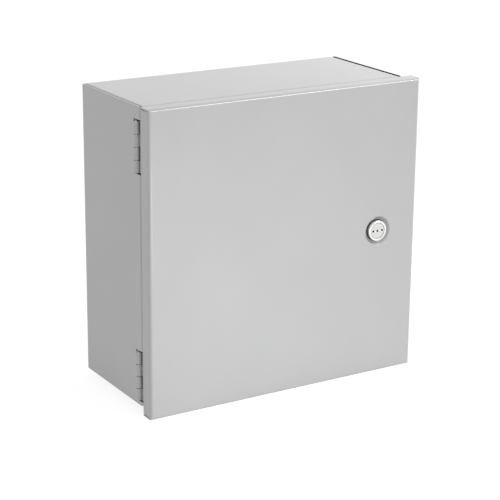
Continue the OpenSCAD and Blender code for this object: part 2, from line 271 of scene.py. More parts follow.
@dataclass(frozen=True)
class PowderCoat:
    """Satin powder coat: an even colour with fine orange peel and a faint cloudiness."""

    name: str
    colour: Colour
    gloss: Span = (0.19, 0.25)
    gloss_grain: float = 4 * MM
    cloud: Span = (0.985, 1.015)
    cloud_grain: float = 70 * MM
    ior: float = 1.6
    peel: float = 1.3 * MM
    peel_rise: float = 0.012 * MM
    peel_strength: float = 0.3

    def board(self) -> NodeBoard:
        """Build the paint's nodes.

        Returns:
            The node board, for a finish that adds to it.
        """
        board = NodeBoard(self.name)
        board.set(
            Base_Color=board.tints(board.noise(self.cloud_grain, detail=3.0), self.colour, self.cloud),
            Roughness=board.spread(board.noise(self.gloss_grain, detail=4.0), self.gloss),
            IOR=self.ior,
        )
        board.bump(board.noise(self.peel, detail=1.0), self.peel_rise, self.peel_strength)
        return board

    def material(self) -> Material:
        """Return the finished material."""
        return self.board().material


@dataclass(frozen=True)
class SeamedCoat(PowderCoat):
    """Powder coat of the box, with near-black painted shade in its corner seams and on the right-hand
    sheet's cut edges.

    Each place is a middle and half a width.
    """

    # Painted shade: the near-black metal colour that the seams and the cut edges take in place of the coat.
    seam_shade_colour: Colour = (0.006, 0.006, 0.0065)
    gap_x: Span = (150.2 * MM, 1.0 * MM)
    gap_z: Span = (151.1 * MM, 1.42 * MM)
    edge_x: Span = (151.9 * MM, 0.8 * MM)
    edge_z: Span = (152.3 * MM, 0.35 * MM)

    def material(self) -> Material:
        """Paint near-black shade into the corner seams and onto the right-hand sheet's cut edges.

        Returns:
            The finished material.
        """
        board = self.board()
        x, _, z = board.axes(board.place)
        side, height = board.maths("ABSOLUTE", x), board.maths("ABSOLUTE", z)
        gaps = board.within((side, *self.gap_x), (height, *self.gap_z))
        edges = board.within((x, *self.edge_x), (height, *self.edge_z))
        # Painted shade where the seams and the cut edges lie, near black and metallic.
        painted_shade = board.maths("MAXIMUM", gaps, edges)
        paint = board.shader.inputs["Base Color"].links[0].from_socket
        board.set(Base_Color=board.blend(painted_shade, paint, (*self.seam_shade_colour, 1)), Metallic=painted_shade)
        return board.material


@dataclass(frozen=True)
class ZincPlate:
    """Bright zinc plate: a cool metal with soft cloudy patches and fine handling marks."""

    name: str = "zinc_plate"
    colour: Colour = (0.66, 0.67, 0.69)
    warm: Colour = (0.71, 0.70, 0.66)
    patch: float = 3.5 * MM
    gloss: Span = (0.26, 0.42)
    gloss_grain: float = 0.9 * MM
    mark: float = 0.5 * MM
    mark_rise: float = 0.01 * MM
    mark_strength: float = 0.35

    def material(self) -> Material:
        """Return the finished material.

        Returns:
            The plate's material.
        """
        board = NodeBoard(self.name)
        board.set(
            Base_Color=board.shades(board.noise(self.patch, detail=4.0), self.colour, self.warm),
            Metallic=1.0,
            Roughness=board.spread(board.noise(self.gloss_grain, detail=5.0), self.gloss),
        )
        board.bump(board.noise(self.mark, detail=3.0), self.mark_rise, self.mark_strength)
        return board.material


@dataclass(frozen=True)
class SlotShade:
    """A band of painted shade across the floor of the latch's slot."""

    place: float
    half: float
    grey: float


@dataclass(frozen=True)
class TurnedNickel:
    """Bright nickel on turned faces: fine rings round the latch's axis, a haze, and painted shade in the
    slot.
    """

    axis: Span
    name: str = "bright_nickel"
    # The housing's lighter copy of the nickel, painted light for its bright rim; the plug takes a darker
    # copy.
    colour: Colour = (0.84, 0.84, 0.83)
    tint: Span = (0.95, 1.04)
    gloss: Span = (0.20, 0.34)
    haze: float = 1.6 * MM
    ring: float = 0.42 * MM
    ring_waver: float = 0.6
    ring_rise: float = 0.006 * MM
    ring_strength: float = 0.5
    # Painted shade: the slot's floor is darker than the nickel, with darker bands at its ends and near its
    # middle.
    slot_shade_colour: Colour = (0.66, 0.66, 0.65)
    slot_y: float = -141.7 * MM
    slot_half: Triple = (7.0 * MM, 1.15 * MM, 1.45 * MM)
    marks: tuple[SlotShade, ...] = (
        SlotShade(-4.7 * MM, 1.3 * MM, 0.01),
        SlotShade(1.0 * MM, 0.9 * MM, 0.1),
        SlotShade(6.3 * MM, 0.7 * MM, 0.05),
    )

    def material(self) -> Material:
        """Return the finished material.

        Returns:
            The nickel's material.
        """
        board = NodeBoard(self.name)
        centre = board.add("ShaderNodeMapping")
        centre.inputs["Location"].default_value = (-self.axis[0], -self.slot_y, -self.axis[1])
        board.feed(centre.inputs["Vector"], board.place)
        centred = centre.outputs["Vector"]
        rings = board.add("ShaderNodeTexWave", wave_type="RINGS", rings_direction="Y")
        rings.inputs["Scale"].default_value = WAVE_PITCH / self.ring
        rings.inputs["Distortion"].default_value = self.ring_waver
        rings.inputs["Detail"].default_value = 1.0
        board.feed(rings.inputs["Vector"], centred)
        axes = board.axes(centred)
        in_slot = board.within(*((axis, 0.0, half) for axis, half in zip(axes, self.slot_half)))
        # Painted shade in the slot: a darker floor, with the darker bands blended over it.
        slot = (*self.slot_shade_colour, 1)
        for mark in self.marks:
            here = board.within((axes[0], mark.place, mark.half))
            slot = board.blend(here, slot, (mark.grey, mark.grey, mark.grey, 1))
        haze = board.noise(self.haze, detail=4.0)
        nickel = board.tints(haze, self.colour, self.tint)
        board.set(
            Base_Color=board.blend(in_slot, nickel, slot),
            Metallic=1.0,
            Roughness=board.spread(haze, self.gloss),
        )
        board.bump(rings.outputs["Fac"], self.ring_rise, self.ring_strength)
        return board.material


@dataclass(frozen=True)
class BlackRubber:
    """Matt black rubber with a fine moulded grain."""

    name: str = "black_rubber"
    colour: Colour = (0.022, 0.022, 0.024)
    tint: Span = (0.8, 1.3)
    gloss: Span = (0.6, 0.75)
    bloom: float = 2.5 * MM
    grain: float = 0.25 * MM
    grain_rise: float = 0.02 * MM
    grain_strength: float = 0.4

    def material(self) -> Material:
        """Return the finished material.

        Returns:
            The rubber's material.
        """
        board = NodeBoard(self.name)
        bloom = board.noise(self.bloom, detail=3.0)
        board.set(
            Base_Color=board.tints(bloom, self.colour, self.tint),
            Roughness=board.spread(bloom, self.gloss),
        )
        board.bump(board.noise(self.grain, detail=2.0), self.grain_rise, self.grain_strength)
        return board.material


class Bench:
    """Modelling steps in edit mode that the pieces share."""

    THREAD_DEPTH = 0.6134
    THREAD_STEPS = 32
    SHARP = math.radians(50)
    UPRIGHT = 0.9

    @staticmethod
    def close() -> None:
        """Leave edit mode."""
        bpy.ops.object.mode_set(mode="OBJECT")

    @staticmethod
    def clear() -> None:
        """Leave edit mode and deselect everything."""
        if bpy.context.mode != "OBJECT":
            Bench.close()
        bpy.ops.object.select_all(action="DESELECT")

    @staticmethod
    def take(obj: Object) -> None:
        """Make one object the only selected one, and the active one."""
        Bench.clear()
        obj.select_set(True)
        bpy.context.view_layer.objects.active = obj

    @staticmethod
    def named(name: str) -> Object:
        """Name the primitive that was just added, and return it."""
        obj = bpy.context.object
        obj.name = obj.data.name = name
        return obj

    @staticmethod
    def open(obj: Object, kind: Pick, everything: bool = False) -> None:
        """Enter edit mode with all or nothing selected.

        Args:
            obj: the object to edit.
            kind: what is selected in it.
            everything: whether all of it starts selected.
        """
        Bench.take(obj)
        bpy.ops.object.mode_set(mode="EDIT")
        bpy.ops.mesh.select_mode(type=kind.value)
        bpy.ops.mesh.select_all(action="SELECT" if everything else "DESELECT")

    @staticmethod
    def pick(obj: Object, kind: Pick, test: Callable[[object], bool]) -> int:
        """Select, in edit mode, what passes a test.

        Args:
            obj: the object in edit mode.
            kind: whether vertices, edges or faces are tested.
            test: says whether one of them is selected.

        Returns:
            How many were selected.
        """
        bpy.ops.mesh.select_mode(type=kind.value)
        bpy.ops.mesh.select_all(action="DESELECT")
        mesh = bmesh.from_edit_mesh(obj.data)
        mesh.normal_update()
        items = {Pick.VERT: mesh.verts, Pick.EDGE: mesh.edges, Pick.FACE: mesh.faces}[kind]
        chosen = [item for item in items if test(item)]
        for item in chosen:
            item.select_set(True)
        mesh.select_flush_mode()
        bmesh.update_edit_mesh(obj.data)
        return len(chosen)

    @staticmethod
    def apply(obj: Object, kind: str, **settings: object) -> None:
        """Add a modifier with its settings, and apply it.

        Args:
            obj: the object to change.
            kind: the modifier's type.
            settings: its properties.
        """
        Bench.take(obj)
        modifier = obj.modifiers.new(kind.lower(), kind)
        for key, value in settings.items():
            setattr(modifier, key, value)
        bpy.ops.object.modifier_apply(modifier=modifier.name)

    @staticmethod
    def chain(name: str, outline: Outline) -> Object:
        """Draw a chain of edges in the XZ plane, extruded point by point from a plane's middle.

        Args:
            name: the object's name.
            outline: its points as (distance from Z, height).

        Returns:
            The object, in object mode.
        """
        Bench.clear()
        bpy.ops.mesh.primitive_plane_add(size=MM)
        obj = Bench.named(name)
        Bench.open(obj, Pick.VERT, everything=True)
        bpy.ops.mesh.merge(type="CENTER")
        bpy.ops.transform.translate(value=(outline[0][0], 0, outline[0][1]))
        for (r0, z0), (r1, z1) in zip(outline, outline[1:]):
            bpy.ops.mesh.extrude_vertices_move(TRANSFORM_OT_translate={"value": (r1 - r0, 0, z1 - z0)})
        Bench.close()
        return obj

    @staticmethod
    def heal(obj: Object) -> None:
        """Merge doubles and turn all faces outwards."""
        Bench.open(obj, Pick.VERT, everything=True)
        bpy.ops.mesh.remove_doubles(threshold=WELD)
        bpy.ops.mesh.normals_make_consistent(inside=False)
        Bench.close()

    @staticmethod
    def lathe(name: str, outline: Outline, steps: int = 64) -> Object:
        """Spin an outline round Z into a closed solid.

        Args:
            name: the object's name.
            outline: points as (radius, height), from the axis back to it, or back to the first point.
            steps: how many steps the turn has.

        Returns:
            The turned object.
        """
        obj = Bench.chain(name, outline)
        Bench.open(obj, Pick.VERT, everything=True)
        bpy.ops.mesh.spin(steps=steps, angle=math.tau, center=(0, 0, 0), axis=(0, 0, 1))
        Bench.close()
        Bench.heal(obj)
        return obj

    @staticmethod
    def slice(obj: Object, point: Vector, away: Vector) -> None:
        """Cut an object off at a plane and close the cut.

        Args:
            obj: the object to cut.
            point: a point on the plane.
            away: the side that is taken off.
        """
        Bench.open(obj, Pick.VERT, everything=True)
        bpy.ops.mesh.bisect(plane_co=point, plane_no=away, use_fill=True, clear_outer=True)
        Bench.close()

    @staticmethod
    def thread(name: str, radius: float, pitch: float, low: float, high: float) -> Object:
        """Make a rod with a real screw thread, along Z.

        Args:
            name: the object's name.
            radius: the thread's outer radius.
            pitch: the rise of one turn.
            low: the height where it starts.
            high: the height where it ends.

        Returns:
            The threaded rod, closed at both ends.
        """
        root = radius - Bench.THREAD_DEPTH * pitch
        form = [(root, 0), (root, 1 / 4), (radius, 9 / 16), (radius, 11 / 16), (root, 1)]
        start = low - pitch
        obj = Bench.chain(name, [(r, start + share * pitch) for r, share in form])
        turns = math.ceil((high - low) / pitch) + 2
        steps = Bench.THREAD_STEPS
        Bench.apply(obj, "SCREW", screw_offset=pitch, iterations=turns, steps=steps, render_steps=steps)
        Bench.heal(obj)
        Bench.slice(obj, Vector((0, 0, low)), Vector((0, 0, -1)))
        Bench.slice(obj, Vector((0, 0, high)), Vector((0, 0, 1)))
        Bench.heal(obj)
        return obj

    @staticmethod
    def combine(obj: Object, tool: Object, cut: Cut) -> None:
        """Combine an object with a tool, which is used up.

        Args:
            obj: the object to change.
            tool: the other solid.
            cut: how they are combined.
        """
        Bench.apply(obj, "BOOLEAN", object=tool, operation=cut.value, solver="EXACT")
        bpy.data.meshes.remove(tool.data)

    @staticmethod
    def soften(obj: Object, width: float, shortest: float) -> None:
        """Round an object's sharp edges.

        Args:
            obj: the object to change.
            width: the width of the rounding.
            shortest: the least length of an edge that is rounded.
        """

        def is_sharp(edge: bmesh.types.BMEdge) -> bool:
            """Say whether an edge is sharp and long enough."""
            sharp = len(edge.link_faces) == 2 and edge.calc_face_angle() > Bench.SHARP
            return sharp and edge.calc_length() > shortest

        Bench.open(obj, Pick.EDGE)
        found = Bench.pick(obj, Pick.EDGE, is_sharp)
        if found:
            bpy.ops.mesh.bevel(offset=width, segments=2, affect="EDGES", clamp_overlap=True)
        Bench.close()

    @staticmethod
    def score(obj: Object, inset: float) -> None:
        """Cut edges across an object a little inside its six sides, so that its long bends shade straight.

        Args:
            obj: the object to change.
            inset: how far inside the object's box the edges lie.
        """
        corners = [Vector(corner) for corner in obj.bound_box]
        Bench.open(obj, Pick.FACE)
        for axis, way in enumerate(Matrix.Identity(3)):
            low, high = (end(corner[axis] for corner in corners) for end in (min, max))
            for place in (low + inset, high - inset):
                bpy.ops.mesh.select_all(action="SELECT")
                bpy.ops.mesh.bisect(plane_co=way * place, plane_no=way)
        bpy.ops.mesh.select_all(action="SELECT")
        bpy.ops.mesh.remove_doubles(threshold=SLIVER)
        Bench.close()

    @staticmethod
    def smooth(obj: Object, angle: float = 32.0) -> None:
        """Shade an object smooth up to an angle, with its flats kept flat.

        Args:
            obj: the object to shade.
            angle: the angle above which an edge stays crisp, in degrees.
        """
        Bench.take(obj)
        bpy.ops.object.shade_smooth_by_angle(angle=math.radians(angle))
        Bench.apply(obj, "WEIGHTED_NORMAL", keep_sharp=True, weight=80)

    @staticmethod
    def copy_of(node: str, name: str) -> Object:
        """Copy a solid's mesh, join its loose triangles and clear the seams across its flats.

        Args:
            node: the solid's name.
            name: the copy's name.

        Returns:
            The copy.
        """
        obj = bpy.data.objects.new(name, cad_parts[node].data.copy())
        obj.data.name = name
        obj.data.materials.clear()
        bpy.context.scene.collection.objects.link(obj)
        Bench.open(obj, Pick.VERT, everything=True)
        bpy.ops.mesh.remove_doubles(threshold=WELD)
        bpy.ops.mesh.dissolve_limited(angle_limit=math.radians(0.2))
        Bench.close()
        return obj

    @staticmethod
    def softened(
        node: str, name: str, edge: float, shortest: float = 0.0, bend_inset: float | None = None
    ) -> Object:
        """Copy a solid, round its edges and shade it smooth.

        Args:
            node: the solid's name.
            name: the copy's name.
            edge: the width of the rounding.
            shortest: the least length of an edge that is rounded.
            bend_inset: how far inside its sides a folded sheet's bends end, if it is one.

        Returns:
            The finished copy.
        """
        obj = Bench.copy_of(node, name)
        Bench.soften(obj, edge, shortest)
        if bend_inset is not None:
            Bench.score(obj, bend_inset)
        Bench.smooth(obj)
        return obj

    @staticmethod
    def bar(name: str, wide: float, deep: float, ends: Span, rounding: float, segments: int) -> Object:
        """Make an upright bar with its long edges rounded.

        Args:
            name: the object's name.
            wide: its size along X.
            deep: its size along Y.
            ends: the heights of its two ends.
            rounding: the width of the rounding.
            segments: how many steps the rounding has.

        Returns:
            The bar.
        """
        low, high = ends
        Bench.clear()
        bpy.ops.mesh.primitive_cube_add(size=1, location=(0, 0, (low + high) / 2))
        bar = Bench.named(name)
        bar.scale = (wide, deep, high - low)
        Bench.seat(bar, bar.location.copy())
        Bench.open(bar, Pick.EDGE)
        Bench.pick(
            bar, Pick.EDGE, lambda e: abs((e.verts[0].co - e.verts[1].co).normalized().z) > Bench.UPRIGHT
        )
        bpy.ops.mesh.bevel(offset=rounding, segments=segments, affect="EDGES")
        Bench.close()
        return bar

    @staticmethod
    def twin(obj: Object, name: str) -> Object:
        """Copy a finished shape with a mesh of its own.

        Args:
            obj: the shape to copy.
            name: the copy's name.

        Returns:
            The copy.
        """
        copy = bpy.data.objects.new(name, obj.data.copy())
        copy.data.name = name
        bpy.context.scene.collection.objects.link(copy)
        return copy

    @staticmethod
    def seat(obj: Object, place: Vector, turn: Triple = (0, 0, 0)) -> None:
        """Put an object in its place and write the place into its mesh.

        Args:
            obj: the object to move.
            place: where its own origin goes.
            turn: its turns about X, Y and Z, in degrees.
        """
        Bench.take(obj)
        obj.location = place
        obj.rotation_euler = [math.radians(angle) for angle in turn]
        bpy.ops.object.transform_apply(location=True, rotation=True, scale=True)


@dataclass
class Finishes:
    """All finishes of the part, made once."""

    grey: Material
    box_grey: Material
    white: Material
    zinc: Material
    nickel: Material
    plug: Material
    rubber: Material


def hand_over(obj: Object, body: Body, slot: Slot, finish: Material, *nodes: str) -> None:
    """Dress a piece and let it ride on its body.

    Args:
        obj: the finished piece.
        body: the body that carries it.
        slot: the record's finish; not used.
        finish: the material.
        nodes: the solids that it stands for.
    """
    obj.data.materials.clear()
    obj.data.materials.append(finish)
    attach(obj, body.value)
    if nodes:
        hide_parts(*nodes)
    log.info("%s rides on %s", obj.name, body.value)


@dataclass(frozen=True)
class SpotWeld:
    """A spot weld: a shallow dish with a raised rim, outlined in shares of its radius and its rise."""

    finishes: Finishes
    radius: float = 2.4 * MM
    rise: float = 0.16 * MM
    form: tuple[Span, ...] = ((0, -1), (1, -1), (1, 0.02), (0.84, 1), (0.66, 0.35), (0, 0.2))

    def build(self, name: str, body: Body, place: Vector, lean: float) -> None:
        """Turn one weld and set it on its sheet.

        Args:
            name: the weld's name.
            body: the body that carries it.
            place: its middle, on the sheet's face.
            lean: its turn about Y, in degrees.
        """
        weld = Bench.lathe(name, [(r * self.radius, z * self.rise) for r, z in self.form], steps=20)
        Bench.smooth(weld, angle=60)
        Bench.seat(weld, place, (0, lean, 0))
        hand_over(weld, body, Slot.GREY_PAINT, self.finishes.grey)


@dataclass
class FoldedBox:
    """The box: one folded sheet with its front lip, lapped corner seams and hinge notches."""

    finishes: Finishes
    edge: float = 0.22 * MM
    shortest: float = 2.0 * MM
    bend_inset: float = 3.5 * MM
    lap_face: float = 149.5 * MM
    lap_mid: float = 146.0 * MM
    lap_rows: tuple[float, ...] = (-18 * MM, -42 * MM, -66 * MM, -88 * MM)

    def build(self) -> None:
        """Build the sheet and the spot welds on its lap strips."""
        shell = Bench.softened("body_shell", "box_shell", self.edge, self.shortest, self.bend_inset)
        hand_over(shell, Body.ENCLOSURE, Slot.GREY_PAINT, self.finishes.box_grey, "body_shell")
        welds = SpotWeld(self.finishes)
        for side, face, lean in (("left", -self.lap_face, 90), ("right", self.lap_face, -90)):
            for level, z in (("top", self.lap_mid), ("bottom", -self.lap_mid)):
                for number, y in enumerate(self.lap_rows, 1):
                    name = f"lap_weld_{side}_{level}_{number}"
                    welds.build(name, Body.ENCLOSURE, Vector((face, y, z)), lean)


@dataclass
class PanDoor:
    """The flanged door with its pressed dimple."""

    finishes: Finishes
    edge: float = 0.22 * MM
    shortest: float = 1.2 * MM
    bend_inset: float = 3.5 * MM

    def build(self) -> None:
        """Build the door's sheet."""
        pan = Bench.softened("door", "door_pan", self.edge, self.shortest, self.bend_inset)
        hand_over(pan, Body.DOOR, Slot.GREY_PAINT, self.finishes.grey, "door")


@dataclass
class ButtHinge:
    """A four-knuckle butt hinge: two rolled leaves, spot-welded on, and a pin."""

    finishes: Finishes
    which: str
    edge: float = 0.3 * MM
    shortest: float = 1.0 * MM
    pin_dome: float = 0.7 * MM
    weld_step: float = 17 * MM
    body_weld_back: float = 15.5 * MM
    door_weld_front: float = 14.0 * MM

    def build(self) -> None:
        """Build the leaves, the pin and the spot welds."""
        for part, body in (("body", Body.ENCLOSURE), ("door", Body.DOOR)):
            node = f"{self.which}_hinge_{part}_leaf"
            leaf = Bench.softened(node, f"{self.which}_{part}_leaf", self.edge, self.shortest)
            hand_over(leaf, body, Slot.GREY_PAINT, self.finishes.grey, node)
        self.pin()
        self.welds()

    def pin(self) -> None:
        """Make the pin, with its ends rounded over."""
        node = f"{self.which}_hinge_pin"
        low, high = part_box(node)
        Bench.clear()
        bpy.ops.mesh.primitive_cylinder_add(
            vertices=40, radius=(high.x - low.x) / 2, depth=high.z - low.z, location=(low + high) / 2
        )
        pin = Bench.named(f"{self.which}_pin")
        Bench.seat(pin, pin.location.copy())
        Bench.open(pin, Pick.EDGE)
        Bench.pick(pin, Pick.EDGE, lambda e: e.calc_face_angle() > Bench.SHARP)
        bpy.ops.mesh.bevel(offset=self.pin_dome, segments=4, affect="EDGES")
        Bench.close()
        Bench.smooth(pin)
        hand_over(pin, Body.ENCLOSURE, Slot.ZINC_PLATE, self.finishes.zinc, node)

    def welds(self) -> None:
        """Set three spot welds on each leaf, inside the sheet that carries it."""
        low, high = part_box(f"{self.which}_hinge_pin")
        middle = (low + high) / 2
        face_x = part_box(f"{self.which}_hinge_body_leaf")[1].x
        welds = SpotWeld(self.finishes)
        for part, body, y in (
            ("body", Body.ENCLOSURE, middle.y + self.body_weld_back),
            ("door", Body.DOOR, middle.y - self.door_weld_front),
        ):
            for number in (-1, 0, 1):
                name = f"{self.which}_{part}_leaf_weld_{number + 2}"
                place = Vector((face_x, y, middle.z + number * self.weld_step))
                welds.build(name, body, place, lean=90)


class Fastener:
    """Nuts, washers and threaded rods, made standing on z = 0."""

    CHAMFER_ANGLE = math.radians(30)
    CHAMFER_SHARE = 0.97
    CORNER_ROOM = 1.02
    COUNTERSINK = 1.12
    CRISP = 25.0
    FLANGE_CUT = 0.2 * MM
    TIP_CHAMFER = 0.75
    TIP_ROOM = 1.05
    TOOTH_ROOT = 0.52
    TOOTH_LEAN = math.radians(16)
    RING_FLAT = (0.22, 0.78)

    @staticmethod
    def hex_blank(name: str, across: float, low: float, high: float) -> Object:
        """Make a hexagonal bar with both ends chamfered off its corners.

        Args:
            name: the object's name.
            across: its width across the flats.
            low: the height of its lower end.
            high: the height of its upper end.

        Returns:
            The bar, with a corner towards +X.
        """
        corner = across / math.sqrt(3)
        Bench.clear()
        bpy.ops.mesh.primitive_cylinder_add(
            vertices=6, radius=corner, depth=high - low, location=(0, 0, (low + high) / 2)
        )
        blank = Bench.named(name)
        Bench.seat(blank, blank.location.copy(), (0, 0, 30))
        inner = Fastener.CHAMFER_SHARE * across / 2
        reach = Fastener.CORNER_ROOM * corner
        drop = (reach - inner) * math.tan(Fastener.CHAMFER_ANGLE)
        cone = Bench.lathe(
            f"{name}_chamfer",
            [(0, low), (inner, low), (reach, low + drop), (reach, high - drop), (inner, high), (0, high)],
        )
        Bench.combine(blank, cone, Cut.KEEP_COMMON)
        return blank

    @staticmethod
    def bored(blank: Object, radius: float, low: float, high: float) -> None:
        """Bore a nut, with a countersink at each end.

        Args:
            blank: the nut's blank.
            radius: the bore's radius.
            low: the height of the blank's lower end.
            high: the height of its upper end.
        """
        flare = Fastener.COUNTERSINK * radius
        sink = flare - radius
        bore = Bench.lathe(
            f"{blank.name}_bore",
            [
                (0, low - sink), (flare + sink, low - sink), (flare, low), (radius, low + sink),
                (radius, high - sink), (flare, high), (flare + sink, high + sink), (0, high + sink),
            ],
            steps=48,
        )
        Bench.combine(blank, bore, Cut.REMOVE)
        Bench.heal(blank)

    @staticmethod
    def nut(name: str, across: float, thick: float, bore: float, low: float = 0.0) -> Object:
        """Make a chamfered hexagonal nut.

        Args:
            name: the nut's name.
            across: its width across the flats.
            thick: its height.
            bore: its bore's radius.
            low: the height of its lower end.

        Returns:
            The nut.
        """
        nut = Fastener.hex_blank(name, across, 0, thick)
        Fastener.bored(nut, bore, 0, thick)
        Bench.smooth(nut, Fastener.CRISP)
        Bench.seat(nut, Vector((0, 0, low)))
        return nut

    @staticmethod
    def flange_nut(name: str, across: float, flange: Span, thick: float, bore: float) -> Object:
        """Make a hexagonal nut on a round flange.

        Args:
            name: the nut's name.
            across: its width across the flats.
            flange: the flange's radius and thickness.
            thick: the height of the hexagon above the flange.
            bore: its bore's radius.

        Returns:
            The nut.
        """
        radius, base = flange
        cut, wall, crown = Fastener.FLANGE_CUT, 0.5 * base, 0.72 * radius
        nut = Fastener.hex_blank(name, across, 0.2 * base, base + thick)
        outline = [(0, 0), (radius - cut, 0), (radius, cut), (radius, wall), (crown, base), (0, base)]
        Bench.combine(nut, Bench.lathe(f"{name}_skirt", outline), Cut.JOIN)
        Fastener.bored(nut, bore, 0, base + thick)
        Bench.smooth(nut, Fastener.CRISP)
        return nut

    @staticmethod
    def rod(name: str, radius: float, pitch: float, low: float, high: float) -> Object:
        """Make a threaded rod with a chamfered tip.

        Args:
            name: the rod's name.
            radius: the thread's outer radius.
            pitch: the rise of one turn.
            low: the height where it starts.
            high: the height of its tip.

        Returns:
            The rod.
        """
        rod = Bench.thread(name, radius, pitch, low, high)
        chamfer = Fastener.TIP_CHAMFER * pitch
        wide = Fastener.TIP_ROOM * radius
        shoulder = high - chamfer - (wide - radius)
        foot = low - pitch
        outline = [(0, foot), (wide, foot), (wide, shoulder), (radius - chamfer, high), (0, high)]
        Bench.combine(rod, Bench.lathe(f"{name}_tip", outline), Cut.KEEP_COMMON)
        return rod

    @staticmethod
    def star_washer(name: str, radius: float, bore: float, thick: float, teeth: int = 12) -> Object:
        """Make a toothed lock washer: a flat ring whose outer teeth are twisted.

        Args:
            name: the washer's name.
            radius: the radius at the teeth.
            bore: its bore's radius.
            thick: the height that its twisted teeth take up.
            teeth: how many teeth it has.

        Returns:
            The washer.
        """
        ring = bore + Fastener.TOOTH_ROOT * (radius - bore)
        low, high = (share * thick for share in Fastener.RING_FLAT)
        # Each tooth has three steps: two for itself and one for the gap beside it.
        steps = 3 * teeth
        outline = [(bore, low), (ring, low), (ring, high), (bore, high), (bore, low)]
        washer = Bench.lathe(name, outline, steps)
        near = math.cos(math.tau / steps * 1.4)

        def turn(point: Vector) -> float:
            """Return a point's place round the washer, in steps from 0 to the number of steps."""
            return (math.atan2(point.y, point.x) / math.tau * steps) % steps

        def is_tooth(face: bmesh.types.BMFace) -> bool:
            """Say whether an outer face belongs to a tooth and not to a gap."""
            middle = face.calc_center_median()
            outer = middle.to_2d().length > 0.97 * ring and abs(face.normal.z) < 0.1
            return outer and int(turn(middle)) % 3 != 2

        Bench.open(washer, Pick.FACE)
        Bench.pick(washer, Pick.FACE, is_tooth)
        bpy.ops.mesh.extrude_region_shrink_fatten(TRANSFORM_OT_shrink_fatten={"value": radius - ring})
        for tooth in range(teeth):
            angle = (3 * tooth + 1) / steps * math.tau
            out = Vector((math.cos(angle), math.sin(angle), 0))
            along = Vector((-out.y, out.x, 0))
            Bench.pick(
                washer,
                Pick.VERT,
                lambda v: v.co.to_2d().length > 0.9 * radius and v.co.normalized().dot(out) > near,
            )
            bpy.ops.transform.rotate(
                value=Fastener.TOOTH_LEAN,
                orient_axis="Z",
                orient_type="GLOBAL",
                orient_matrix=Matrix((along, Vector((0, 0, 1)), out)),
                orient_matrix_type="GLOBAL",
                center_override=out * radius + Vector((0, 0, thick / 2)),
            )
        Bench.close()
        Bench.heal(washer)
        Bench.smooth(washer)
        return washer


@dataclass
class MountingPanel:
    """The white panel on its four collar studs, held by flange nuts."""

    finishes: Finishes
    edge: float = 0.3 * MM
    hole: float = 108 * MM
    foot_y: float = -1.5 * MM
    face_y: float = -13.4 * MM
    collar_r: float = 5.5 * MM
    collar_h: float = 10 * MM
    collar_cut: float = 0.4 * MM
    stud_r: float = 2.5 * MM
    stud_len: float = 19.6 * MM
    pitch: float = 0.8 * MM
    nut_across: float = 8 * MM
    nut_thick: float = 4 * MM
    flange: Span = (5.5 * MM, 1.2 * MM)
    slip: float = 0.1 * MM

    def build(self) -> None:
        """Build the panel, its studs and its nuts."""
        panel = Bench.softened("mounting_panel", "panel_plate", self.edge)
        hand_over(panel, Body.ENCLOSURE, Slot.WHITE_PAINT, self.finishes.white, "mounting_panel")
        stud, nut = self.stud(), self.nut()
        corners = [(sx * self.hole, sz * self.hole) for sz in (1, -1) for sx in (-1, 1)]
        for number, (x, z) in enumerate(corners, 1):
            for shape, kind, y in ((stud, "stud", self.foot_y), (nut, "nut", self.face_y)):
                copy = Bench.twin(shape, f"panel_{kind}_{number}")
                Bench.seat(copy, Vector((x, y, z)), (90, 0, 0))
                hand_over(copy, Body.ENCLOSURE, Slot.ZINC_PLATE, self.finishes.zinc, f"panel_{kind}s")
        for shape in (stud, nut):
            bpy.data.meshes.remove(shape.data)

    def stud(self) -> Object:
        """Make one stud: a turned collar with a thread above it.

        Returns:
            The stud, standing on z = 0.
        """
        r, h, cut = self.collar_r, self.collar_h, self.collar_cut
        stud = Fastener.rod("stud", self.stud_r, self.pitch, h - self.pitch, self.stud_len)
        collar = Bench.lathe("collar", [(0, 0), (r, 0), (r, h - cut), (r - cut, h), (0, h)])
        Bench.combine(stud, collar, Cut.JOIN)
        Bench.smooth(stud)
        return stud

    def nut(self) -> Object:
        """Return one flange nut, standing on z = 0."""
        bore = self.stud_r + self.slip
        return Fastener.flange_nut("nut", self.nut_across, self.flange, self.nut_thick, bore)


